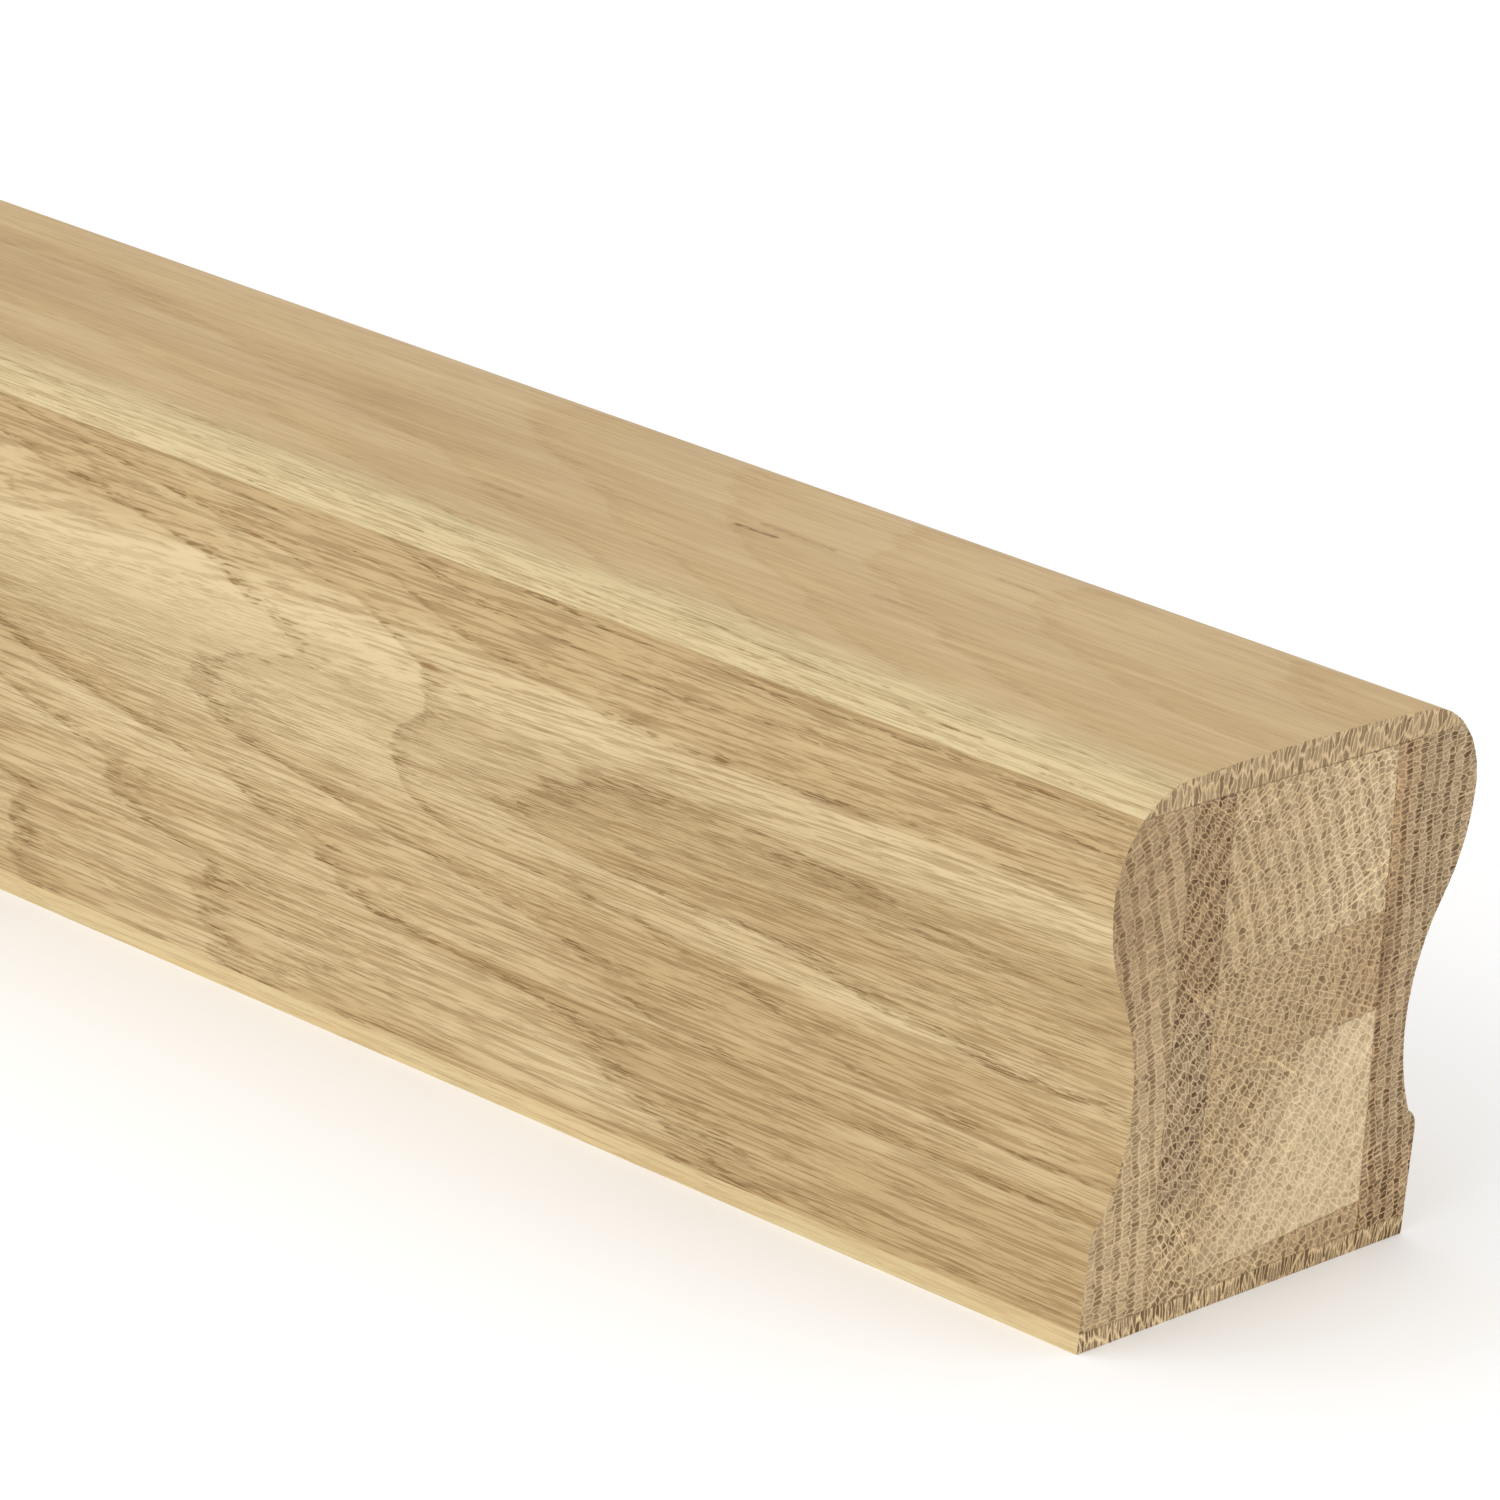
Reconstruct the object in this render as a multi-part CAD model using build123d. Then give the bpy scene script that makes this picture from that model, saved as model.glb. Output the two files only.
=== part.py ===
from build123d import *
import os
from math import atan2, degrees, radians, sqrt, tan

# A moulded oak handrail, glued up from nine lengths of wood. The core is an upright strip
# on the left and four blocks stacked beside it. A stave covers each side of the core, and
# a thin lamella its top and its base. The blank is moulded to one section along its
# whole length.
# Frame: X along the rail, Y across it, Z up. The origin is the middle of the underside.
# Left and right are as seen by someone who faces the +X end.
# Every length is in millimetres and every angle in degrees.

# The rail as a whole
rail_length = 2400.0
rail_width = 59.0
rail_height = 60.0

# The grip: a nearly flat crown, a tight shoulder, and a full side below it
crown_radius = 372.0
shoulder_radius = 10.5
bulge_radius = 20.8

# The waist and the base, each set in from the widest part of the grip on both sides
waist_inset = 6.9
cove_radius = 23.7
base_inset = 2.7
arris_inset = 1.54
ovolo_radius = 2.6

# The pieces that are glued together
top_lamella_thickness = 3.4
bottom_lamella_thickness = 2.2
stave_thickness_at_waist = 5.5
left_joint_lean = 1.9
right_joint_lean = 3.9

# The core: its left strip, and the heights of the joints between the stacked blocks,
# taken at the middle of the rail. Those joints are square to the right-hand side joint.
core_strip_thickness = 6.5
upper_joint_height = 37.2
lower_joint_height = 26.2
foot_joint_height = 4.5

HALF_TURN = 180
FULL_TURN = 360

half_width = rail_width / 2
waist_half = half_width - waist_inset
base_half = half_width - base_inset
arris_y = base_half - arris_inset


def leg(hypotenuse, other):
    """The remaining side of a right-angled triangle."""
    return sqrt(hypotenuse**2 - other**2)


# Centres of the arcs of the right-hand side, as (y, z). The crown touches the top at its
# middle. Each arc below it is tangent to the one before, and the cove is upright at the waist.
crown_centre = (0, rail_height - crown_radius)
shoulder_y = half_width - shoulder_radius
shoulder_z = crown_centre[1] + leg(crown_radius - shoulder_radius, shoulder_y)
shoulder_centre = (shoulder_y, shoulder_z)
bulge_centre = (half_width - bulge_radius, shoulder_z)
cove_y = waist_half + cove_radius
waist_z = shoulder_z - leg(bulge_radius + cove_radius, cove_y - bulge_centre[0])
cove_centre = (cove_y, waist_z)

# The cove runs down to a sharp arris, and a small ovolo turns from there to the base's side.
arris_z = waist_z - leg(cove_radius, cove_y - arris_y)
ovolo_y = base_half - ovolo_radius
ovolo_centre = (ovolo_y, arris_z - leg(ovolo_radius, arris_y - ovolo_y))

# The glue lines
lamella_top_joint_z = rail_height - top_lamella_thickness
lamella_bottom_joint_z = bottom_lamella_thickness
core_half = waist_half - stave_thickness_at_waist


def bearing(centre, point):
    """Direction from a centre to a point, in degrees from +Y towards +Z."""
    return degrees(atan2(point[1] - centre[1], point[0] - centre[0]))


def arc(centre, radius, start, end):
    """The shorter arc about a centre, between the bearings of two points."""
    from_angle = bearing(centre, start)
    sweep = (bearing(centre, end) - from_angle + HALF_TURN) % FULL_TURN - HALF_TURN
    return CenterArc(centre, radius, from_angle, sweep)


def half_outline():
    """The right-hand half of the section, from the middle of the base up to the crown."""
    base_corner = (base_half, 0)
    ovolo_start = (base_half, ovolo_centre[1])
    arris = (arris_y, arris_z)
    widest = (half_width, shoulder_z)
    crown_top = (0, rail_height)
    return Curve() + [
        Line((0, 0), base_corner),
        Line(base_corner, ovolo_start),
        arc(ovolo_centre, ovolo_radius, ovolo_start, arris),
        arc(cove_centre, cove_radius, arris, bulge_centre),
        arc(bulge_centre, bulge_radius, cove_centre, widest),
        arc(shoulder_centre, shoulder_radius, widest, from_crown(shoulder_centre)),
        arc(crown_centre, crown_radius, shoulder_centre, crown_top),
    ]


def from_crown(point):
    """A point further out on the ray from the crown's centre through the given one."""
    return (2 * point[0] - crown_centre[0], 2 * point[1] - crown_centre[1])


def rail_section():
    """The whole moulded section, with +Y to its right and +Z up."""
    half = half_outline()
    whole = half + mirror(half, about=Plane.YZ)
    return make_face(whole.edges())


def leaning_joint(y_at_waist, lean, z):
    """Where a joint lies at a height, if it leans to the left going up."""
    return y_at_waist - tan(radians(lean)) * (z - waist_z)


def left_joint(z):
    """The glue line between the left stave and the core."""
    return leaning_joint(-core_half, left_joint_lean, z)


def strip_joint(z):
    """The glue line between the core's left strip and its stacked blocks."""
    return left_joint(z) + core_strip_thickness


def right_joint(z):
    """The glue line between the core and the right stave."""
    return leaning_joint(core_half, right_joint_lean, z)


def blank_between(left_edge, right_edge):
    """The outline of a piece of the middle layer, between two edges given as y at a height."""
    low, high = lamella_bottom_joint_z, lamella_top_joint_z
    corners = [
        (left_edge(low), low),
        (right_edge(low), low),
        (right_edge(high), high),
        (left_edge(high), high),
    ]
    return make_face(Polyline(*corners, close=True))


def layer_blank(low, high, slope=0):
    """The outline of a layer across the whole width, between two heights at the middle."""
    rise = tan(radians(slope)) * rail_width
    corners = [
        (-rail_width, low - rise),
        (rail_width, low + rise),
        (rail_width, high + rise),
        (-rail_width, high - rise),
    ]
    return make_face(Polyline(*corners, close=True))


def moulded(blank):
    """A piece of the rail: its share of the section, run along the whole length."""
    share = rail_section() & blank
    return extrude(Plane.YZ * share, amount=rail_length / 2, both=True)


def top_lamella():
    """The thin board that forms the crown and carries the seam along each shoulder."""
    return moulded(layer_blank(lamella_top_joint_z, rail_height))


def bottom_lamella():
    """The thin board that forms the underside."""
    return moulded(layer_blank(0, lamella_bottom_joint_z))


def left_stave():
    """The moulded stave on the left."""
    return moulded(blank_between(lambda z: -rail_width, left_joint))


def right_stave():
    """The moulded stave on the right."""
    return moulded(blank_between(right_joint, lambda z: rail_width))


def core_left_strip():
    """The upright strip of the core beside the left stave."""
    return moulded(blank_between(left_joint, strip_joint))


def stacked_block(low, high):
    """A block of the core between two cross joints, which are square to the right joint."""
    layer = layer_blank(low, high, slope=right_joint_lean)
    return moulded(blank_between(strip_joint, right_joint) & layer)


below_the_core, above_the_core = -rail_height, 2 * rail_height

nodes = {
    "top_lamella": top_lamella(),
    "left_stave": left_stave(),
    "core_left_strip": core_left_strip(),
    "core_upper_block": stacked_block(upper_joint_height, above_the_core),
    "core_block": stacked_block(lower_joint_height, upper_joint_height),
    "core_lower_block": stacked_block(foot_joint_height, lower_joint_height),
    "core_foot_strip": stacked_block(below_the_core, foot_joint_height),
    "right_stave": right_stave(),
    "bottom_lamella": bottom_lamella(),
}

os.makedirs("parts", exist_ok=True)
for name, solid in nodes.items():
    export_step(solid, f"parts/{name}.step")
    print(name, "volume", round(solid.volume), "mm3")
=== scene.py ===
import math

import bpy
from mathutils import Matrix, Vector


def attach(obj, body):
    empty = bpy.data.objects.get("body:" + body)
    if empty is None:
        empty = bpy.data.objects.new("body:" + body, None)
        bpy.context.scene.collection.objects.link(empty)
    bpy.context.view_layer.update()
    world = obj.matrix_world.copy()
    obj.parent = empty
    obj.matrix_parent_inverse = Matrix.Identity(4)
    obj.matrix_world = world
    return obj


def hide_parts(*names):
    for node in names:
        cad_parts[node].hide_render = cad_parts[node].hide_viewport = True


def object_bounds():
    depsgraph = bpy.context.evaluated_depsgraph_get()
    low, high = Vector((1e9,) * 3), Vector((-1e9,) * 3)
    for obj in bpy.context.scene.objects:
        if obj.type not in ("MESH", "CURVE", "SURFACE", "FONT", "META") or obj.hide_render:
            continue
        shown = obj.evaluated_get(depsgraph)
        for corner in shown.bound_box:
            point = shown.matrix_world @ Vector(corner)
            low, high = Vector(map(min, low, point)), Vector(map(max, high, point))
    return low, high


bl_info = {
    "name": "Moulded Oak Handrail",
    "version": (1, 0, 0),
    "blender": (4, 5, 0),
    "location": "3D View > Sidebar > Handrail",
    "description": "Dresses a glued and moulded oak handrail with its grain, and sets up a plain studio",
    "category": "Add Mesh",
}

# Everything is in metres in the rail's own frame: X along the rail, Y across it, Z up.
# Grain is worked out in millimetres, counted back from the near sawn end at +X.
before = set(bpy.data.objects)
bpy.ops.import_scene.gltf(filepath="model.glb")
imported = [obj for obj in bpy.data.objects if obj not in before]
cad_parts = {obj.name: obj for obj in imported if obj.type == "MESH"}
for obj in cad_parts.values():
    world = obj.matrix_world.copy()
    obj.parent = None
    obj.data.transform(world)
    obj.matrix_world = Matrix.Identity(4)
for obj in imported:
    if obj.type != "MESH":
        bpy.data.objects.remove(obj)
CAD_LOW, CAD_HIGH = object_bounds()
NEAR_END = CAD_HIGH.x
MM = 0.001
HALF_HEIGHT = 30.0
BODY = "root"


# Sizes and colours that a user would change


def size(name, description, default):
    """A length property in metres."""
    return bpy.props.FloatProperty(
        name=name, description=description, default=default, min=0.0, unit="LENGTH"
    )


def shade(name, description, default):
    """A colour property, given as the sRGB values that a colour card would show."""
    linear = [((c + 0.055) / 1.055) ** 2.4 for c in default]
    return bpy.props.FloatVectorProperty(
        name=name, description=description, default=linear, subtype="COLOR", min=0.0, max=1.0
    )


def number(name, description, default):
    """A plain number property."""
    return bpy.props.FloatProperty(name=name, description=description, default=default)


def turn(name, description, default):
    """An angle property, given here in degrees."""
    return bpy.props.FloatProperty(
        name=name, description=description, default=math.radians(default), unit="ROTATION"
    )


class RailShape(bpy.types.PropertyGroup):
    """The moulded section and the pieces that are glued up to make it."""

    length: size("Length", "Length of the rail", CAD_HIGH.x - CAD_LOW.x)
    width: size("Width", "Widest part of the grip", CAD_HIGH.y - CAD_LOW.y)
    height: size("Height", "From the underside to the crown", CAD_HIGH.z - CAD_LOW.z)
    crown_radius: size("Crown radius", "Radius of the nearly flat top", 0.372)
    shoulder_radius: size("Shoulder radius", "Radius between crown and side", 0.0105)
    bulge_radius: size("Bulge radius", "Radius of the full side under the shoulder", 0.0208)
    waist_inset: size("Waist inset", "How far the waist lies inside the widest part", 0.0069)
    cove_radius: size("Cove radius", "Radius of the hollow side", 0.0237)
    base_inset: size("Base inset", "How far the base's side lies inside the widest part", 0.0027)
    arris_inset: size("Arris inset", "How far the arris lies inside the base's side", 0.00154)
    ovolo_radius: size("Ovolo radius", "Radius that turns from the arris to the side", 0.0026)
    top_lamella: size("Top lamella", "Thickness of the board that forms the crown", 0.0034)
    bottom_lamella: size("Bottom lamella", "Thickness of the board underneath", 0.0022)
    stave_at_waist: size("Stave at waist", "Thickness of a side stave at the waist", 0.0055)
    left_lean: turn("Left joint lean", "How far the left side's glue lines lean", 1.9)
    right_lean: turn("Right joint lean", "How far the right side's glue line leans", 3.9)
    core_strip: size("Core strip", "Thickness of the core's upright left strip", 0.0065)
    upper_joint: size("Upper joint", "Height of the core's highest cross joint", 0.0372)
    lower_joint: size("Lower joint", "Height of the core's middle cross joint", 0.0262)
    foot_joint: size("Foot joint", "Height of the core's lowest cross joint", 0.0045)
    facet: size("Facet", "Distance between points round the section", 0.0004)
    spans: bpy.props.IntProperty(
        name="Spans", description="Rings along the rail, closer near its ends", default=90, min=4
    )
    wear: size("Sawn edge wear", "How far the sawn edge's fibres are broken back", 0.00012)


class OakLook(bpy.types.PropertyGroup):
    """Colours of the bare oak. The sawn end's tones also carry painted shade."""

    pale: shade("Pale", "Smooth late wood on the sides", (0.76, 0.683, 0.53))
    tan: shade("Tan", "Porous early wood on the sides", (0.665, 0.568, 0.405))
    top_pale: shade("Top pale", "Light streaks of the top", (0.74, 0.637, 0.463))
    top_tan: shade("Top tan", "Darker streaks of the top", (0.665, 0.553, 0.382))
    sapwood: shade("Sapwood", "Palest wood, on the shoulder and underneath", (0.755, 0.69, 0.53))
    # The sawn-end tones are partly the end grain's own darker colour and partly painted shade, set darker
    # for the near end, which faces away from the softbox.
    brown_end: shade("Brown end", "Darkest heartwood of the sawn end", (0.635, 0.535, 0.40))
    grey_end: shade("Grey end", "Greyish wood of the sawn end", (0.66, 0.575, 0.45))
    tan_end: shade("Tan end", "Middle tone of the sawn end", (0.70, 0.605, 0.46))
    light_end: shade("Light end", "Lighter tone of the sawn end", (0.735, 0.645, 0.50))
    cream_end: shade("Cream end", "Palest wood of the sawn end", (0.81, 0.725, 0.58))
    red_end: shade("Reddish end", "Reddish wood of the sawn end", (0.675, 0.56, 0.415))


class Studio(bpy.types.PropertyGroup):
    """The camera's place and the light."""

    azimuth: turn("Azimuth", "Camera's turn from the left side towards the near end", 39.89)
    elevation: turn("Elevation", "Camera's height above the horizon", 18.78)
    roll: turn("Roll", "Camera's roll", 5.90)
    distance: size("Distance", "From the camera's plane to the foot of the near end", 0.7754)
    picture: number("Picture size", "Pixels along the square picture's side", 1500.0)
    focal_pixels: number("Focal length", "Focal length in pixels of that picture", 7603.8)
    foot_column: number("Foot column", "Pixel column of the near end's foot", 1242.5)
    foot_row: number("Foot row", "Pixel row of the near end's foot", 1292.7)
    sky: number("Sky", "Strength of the even light all round", 1.0)
    key: number("Key", "Power of the softbox on the left side, in watts", 20.0)
    floor: shade("Floor", "Colour of the floor", (0.985, 0.985, 0.985))


# Node trees


class Wire:
    """A node's output. Python's operators on it add Math nodes."""

    def __init__(self, tree, socket):
        self.tree = tree
        self.socket = socket

    def math(self, operation, *others):
        inputs = dict(enumerate((self, *others)))
        return node(self.tree, "ShaderNodeMath", {"operation": operation}, inputs)

    def __add__(self, other):
        return self.math("ADD", other)

    def __radd__(self, other):
        return self.math("ADD", other)

    def __sub__(self, other):
        return self.math("SUBTRACT", other)

    def __rsub__(self, other):
        return (self * -1.0) + other

    def __mul__(self, other):
        return self.math("MULTIPLY", other)

    def __rmul__(self, other):
        return self.math("MULTIPLY", other)

    def __truediv__(self, other):
        return self.math("DIVIDE", other)

    def __abs__(self):
        return self.math("ABSOLUTE")

    def fraction(self):
        return self.math("FRACT")

    def at_least(self, other):
        return self.math("MAXIMUM", other)

    def at_most(self, other):
        return self.math("MINIMUM", other)

    def bell(self, centre, width):
        """1 at the centre, falling off smoothly over the width."""
        offset = (self - centre) / width
        return (offset * offset * -1.0).math("EXPONENT")

    def rise(self, low, high):
        """0 at low, 1 at high and smooth between, also where low is the larger."""
        return node(
            self.tree,
            "ShaderNodeMapRange",
            {"interpolation_type": "SMOOTHSTEP"},
            {0: self, 1: low, 2: high, 3: 0.0, 4: 1.0},
        )


def node(tree, kind, settings=None, inputs=None, output=0):
    """Adds a node, sets it up, links or fills its inputs, and gives one output."""
    made = tree.nodes.new(kind)
    for name, value in (settings or {}).items():
        setattr(made, name, value)
    for key, value in (inputs or {}).items():
        if isinstance(value, Wire):
            tree.links.new(value.socket, made.inputs[key])
        else:
            made.inputs[key].default_value = value
    return Wire(tree, made.outputs[output])


def vector_math(tree, operation, first, second):
    """Vector arithmetic on two vectors."""
    return node(tree, "ShaderNodeVectorMath", {"operation": operation}, {0: first, 1: second})


def scaled(tree, vector, factor):
    """A vector times one number."""
    return node(tree, "ShaderNodeVectorMath", {"operation": "SCALE"}, {0: vector, 3: factor})


def combine(tree, x, y, z):
    """A vector from three values."""
    return node(tree, "ShaderNodeCombineXYZ", None, {0: x, 1: y, 2: z})


def mix_colour(tree, amount, first, second, blend="MIX"):
    """Mixes or blends two colours."""
    settings = {"data_type": "RGBA", "blend_type": blend, "clamp_factor": True}
    return node(tree, "ShaderNodeMix", settings, {0: amount, 6: first, 7: second}, output=2)


def noise(tree, vector, detail=2.0, roughness=0.5, scale=1.0):
    """Smooth noise, from 0 to 1 about 0.5."""
    inputs = {"Vector": vector, "Scale": scale, "Detail": detail, "Roughness": roughness}
    return node(tree, "ShaderNodeTexNoise", None, inputs)


def colour(values):
    """Red, green, blue and alpha from a colour property."""
    return (*values, 1.0)


def mix_tones(tree, amount, first, second):
    """Mixes two colour properties."""
    return mix_colour(tree, amount, colour(first), colour(second))


class Place:
    """Where a point of the wood is, in millimetres back from the near end, across and up."""

    def __init__(self, tree):
        self.tree = tree
        metres = node(tree, "ShaderNodeTexCoord", output=3)
        shifted = vector_math(tree, "SUBTRACT", metres, (NEAR_END, 0.0, 0.0))
        self.vector = vector_math(tree, "MULTIPLY", shifted, (-1 / MM, 1 / MM, 1 / MM))
        split = node(tree, "ShaderNodeSeparateXYZ", None, {0: self.vector})
        outputs = split.socket.node.outputs
        self.back, self.across, self.up = (Wire(tree, outputs[i]) for i in range(3))

    def stretched(self, along, across, seed, up=None, slope=None):
        """The place measured in grains: long ones along the rail, thin ones across it."""
        vector = self.vector
        if slope:
            vector = vector_math(self.tree, "ADD", vector, combine(self.tree, 0.0, 0.0, slope * self.back))
        share = (1 / along, 1 / across, 1 / (up or across))
        vector = vector_math(self.tree, "MULTIPLY", vector, share)
        return vector_math(self.tree, "ADD", vector, (seed, seed * 1.7, seed * 2.3))

    def about(self, heart):
        """Distance from the tree's heart, given as (across, up), and distance round it."""
        across, up = self.across - heart[0], self.up - heart[1]
        radius = (across * across + up * up).math("SQRT")
        middle = math.hypot(heart[0], heart[1] - HALF_HEIGHT)
        turned = (up * math.copysign(1.0, -heart[0])).math("ARCTAN2", abs(across))
        return radius, turned * middle


# The oak


SPECULAR = 0.32


def new_material(name):
    """A material with an empty tree, and its shader."""
    material = bpy.data.materials.new(name)
    material.use_nodes = True
    tree = material.node_tree
    tree.nodes.clear()
    shader = tree.nodes.new("ShaderNodeBsdfPrincipled")
    shader.inputs["Specular IOR Level"].default_value = SPECULAR
    output = tree.nodes.new("ShaderNodeOutputMaterial")
    tree.links.new(shader.outputs[0], output.inputs["Surface"])
    return material, tree, shader


def finish_material(tree, shader, base_colour, roughness, height, depth):
    """Links the colour and roughness, and a bump whose full height is depth in metres."""
    inputs = {"Strength": 1.0, "Distance": depth, "Height": height}
    bump = node(tree, "ShaderNodeBump", None, inputs)
    tree.links.new(base_colour.socket, shader.inputs["Base Color"])
    tree.links.new(roughness.socket, shader.inputs["Roughness"])
    tree.links.new(bump.socket, shader.inputs["Normal"])


# Growth rings, for the faces and the sawn ends alike. Each ring begins at a whole number with
# porous early wood, and ends in pale late wood.


def drift(place, along, across, seed):
    """A slow wander about nothing, in grains so long and so thick."""
    return noise(place.tree, place.stretched(along, across, seed), detail=1.0) - 0.5


# Where the hearts of the staves' trees lie, as (across, up), and how wide each tree's rings are
LEFT_HEART, RIGHT_HEART = (-175.0, -8.0), (370.0, 75.0)
LEFT_RING, RIGHT_RING, TOP_RING, BASE_RING = 2.66, 2.4, 0.85, 0.9

# The left stave's first whole ring, and the height from which the top lamella's are counted
LEFT_FIRST_RING = 155.45
TOP_FIRST_RING = 60.3
TOP_TILT, BASE_TILT = 0.0523, 0.03


def left_stave_rings(place):
    """Rings of the left stave: a tongue that opens towards the near end, and loops behind it."""
    back, up = place.back, place.up
    radius, _ = place.about(LEFT_HEART)
    swell = -30.0 * (1.0 - back.bell(0.0, 274.0))
    foot = up + 0.08 * back
    upper_limb = 1.75 * back.rise(20.0, 75.0) * back.rise(106.0, 88.0) * foot.rise(29.5, 38.0)
    ridge = 0.7 * up.bell(40.0, 2.5) * back.rise(15.0, 35.0) * back.rise(85.0, 70.0)
    valley = 0.7 * up.bell(45.0, 2.4) * back.rise(10.0, 40.0) * back.rise(105.0, 80.0)
    hollow = 1.6 * up.bell(20.5, 5.0) * back.rise(20.0, 75.0)
    low_loop = 1.65 * up.rise(19.0, 7.0) * back.rise(90.0, 122.0)
    loop = 2.6 * up.bell(41.0, 8.0) * back.rise(128.0, 165.0)
    swell = swell + upper_limb + ridge - valley - hollow + low_loop + loop
    swell = swell + 6.0 * drift(place, 140.0, 26.0, 8.0) * back.rise(120.0, 300.0)
    swell = swell + 0.9 * drift(place, 12.0, 3.0, 3.1) + 0.2 * drift(place, 3.0, 0.8, 4.1)
    return (radius + swell - LEFT_FIRST_RING) / LEFT_RING


def right_stave_rings(place):
    """Rings of the right stave, which nothing in the photograph shows along its length."""
    radius, _ = place.about(RIGHT_HEART)
    swell = 9.0 * drift(place, 180.0, 40.0, 31.0) + 0.9 * drift(place, 12.0, 3.0, 33.0)
    return (radius + swell + 0.002 * place.back) / RIGHT_RING


def top_rings(place):
    """Rings of the top lamella, nearly parallel to its surface."""
    back = place.back
    swell = -4.2 * (1.0 - back.bell(0.0, 90.0))
    swell = swell + 3.0 * drift(place, 200.0, 60.0, 12.0) * back.rise(90.0, 300.0)
    swell = swell + 0.5 * drift(place, 22.0, 7.0, 13.0)
    return (TOP_TILT * place.across + place.up - TOP_FIRST_RING + swell) / TOP_RING


def base_rings(place):
    """Rings of the bottom lamella, nearly parallel to its surface."""
    swell = 4.0 * drift(place, 150.0, 20.0, 21.0)
    return (place.up + BASE_TILT * place.across + swell) / BASE_RING


def heart_rings(heart, ring_width):
    """Rings round a tree's heart that lies outside the piece."""

    def rings(place):
        radius, _ = place.about(heart)
        return (radius + 1.2 * drift(place, 200.0, 9.0, ring_width)) / ring_width

    return rings


def stroke(first, second, start, end, width):
    """A soft line between two points, 1 along its middle."""
    length = math.dist(start, end)
    lead = ((end[0] - start[0]) / length, (end[1] - start[1]) / length)
    first, second = first - start[0], second - start[1]
    along = first * lead[0] + second * lead[1]
    aside = second * lead[0] - first * lead[1]
    return along.rise(-0.5, 0.5) * along.rise(length + 0.5, length - 0.5) * aside.bell(0.0, width)


def strokes(first, second, marks):
    """The sum of soft lines, each given as its strength, start, end and width."""
    total = 0.0
    for strength, start, end, width in marks:
        total = total + strength * stroke(first, second, start, end, width)
    return total


JOINT_WIDTH = 0.11


def joint_lines(place, shape):
    """The thin dark lines where the glued pieces meet, seen on a sawn end."""
    across, up = place.across, place.up
    waist = side_line(shape)[1] / MM
    lean = math.tan(shape.right_lean)
    level = up - lean * across
    offsets = [
        across - joint / MM + math.tan(shape.left_lean) * (up - waist)
        for joint in (left_at_waist(shape), left_at_waist(shape) + shape.core_strip)
    ]
    offsets.append(across - right_at_waist(shape) / MM + lean * (up - waist))
    offsets.append(up - shape.bottom_lamella / MM)
    offsets.append(up - (shape.height - shape.top_lamella) / MM)
    lines = [offset.bell(0.0, JOINT_WIDTH) for offset in offsets]
    inside = offsets[1].rise(-0.1, 0.0) * offsets[2].rise(0.1, 0.0)
    for joint in (shape.upper_joint, shape.lower_joint, shape.foot_joint):
        lines.append(inside * (level - joint / MM).bell(0.0, JOINT_WIDTH))
    total = lines[0]
    for line in lines[1:]:
        total = total.at_least(line)
    return total


def shaded(tree, tone, gain, *shades):
    """A tone times a grey gain, then mixed towards each shade by its amount."""
    body = mix_colour(tree, 1.0, tone, combine(tree, gain, gain, gain), blend="MULTIPLY")
    for amount, tint in shades:
        body = mix_colour(tree, amount, body, tint, blend="MULTIPLY")
    return body


# What pores and lines leave of the light, in red, green and blue
PORE_TINT = (0.30, 0.24, 0.18, 1.0)
OPEN_PORE_TINT = (0.64, 0.52, 0.39, 1.0)
LINE_TINT = (0.65, 0.575, 0.48, 1.0)

# How deep the pores are, in metres, on the planed faces and on the sawn ends
FACE_RELIEF = 0.00008
END_RELIEF = 0.00012

# How bright the wood between the pores is, against the tone that pores and lines darken
FACE_GAIN = 1.10
END_GAIN = 1.095


def long_grain(name, rings_of, light, dark, seed, zone_of=None, contrast=1.0, streaky=1.0,
               line_share=1.0, pore_share=1.0, slope_of=None, extra=None):
    """Bare planed oak seen along the grain.

    Each ring starts with a narrow band of open pores, which show as short brown dashes, and
    passes into smooth pale wood. Fine dark lines run through all of it. The zone is how dark
    the wood is on a broad scale.
    """
    material, tree, shader = new_material(name)
    place = Place(tree)
    phase = rings_of(place).fraction()
    early = phase.rise(0.0, 0.06) * phase.rise(0.80, 0.05)
    onset = phase.rise(0.0, 0.04) * phase.rise(0.24, 0.07)
    slope = slope_of(place) if slope_of else None
    zone = zone_of(place) if zone_of else 0.35

    streaks = noise(tree, place.stretched(24.0, 0.9, seed, slope=slope), detail=2.0, roughness=0.65)
    clouds = noise(tree, place.stretched(45.0, 7.0, seed + 1.0), detail=2.0)
    fine = noise(tree, place.stretched(9.0, 0.22, seed + 2.0, slope=slope), detail=1.0, roughness=0.6)
    dashes = noise(tree, place.stretched(2.4, 0.16, seed + 3.0, slope=slope), detail=1.0)
    clusters = noise(tree, place.stretched(8.0, 1.2, seed + 4.0), detail=1.0)

    lines = fine.rise(0.48, 0.59) * (0.30 + 1.3 * streaks).at_most(1.0) * line_share
    open_pores = dashes.rise(0.53, 0.63)
    clustered = clusters.rise(0.38, 0.60) * (0.35 + 0.20 * early + 0.50 * onset)
    pores = open_pores * (clustered + 0.20 * onset).at_most(1.0) * pore_share

    mixed = zone + 0.22 * contrast * early + streaky * (0.7 * (clouds - 0.5) + 1.3 * (streaks - 0.5))
    tone = mix_tones(tree, mixed.at_least(0.0).at_most(1.0), light, dark)
    if extra:
        tone, pores, lines = extra(place, tone, pores, lines)
    body = shaded(
        tree, tone, FACE_GAIN, (lines * 0.78, LINE_TINT), (0.90 * pores, OPEN_PORE_TINT),
        (0.25 * onset * contrast, LINE_TINT),
    )
    height = 1.0 - 0.8 * pores - 0.35 * lines
    roughness = 0.55 + 0.1 * early + 0.1 * pores
    finish_material(tree, shader, body, roughness, height, FACE_RELIEF)
    return material


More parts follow.
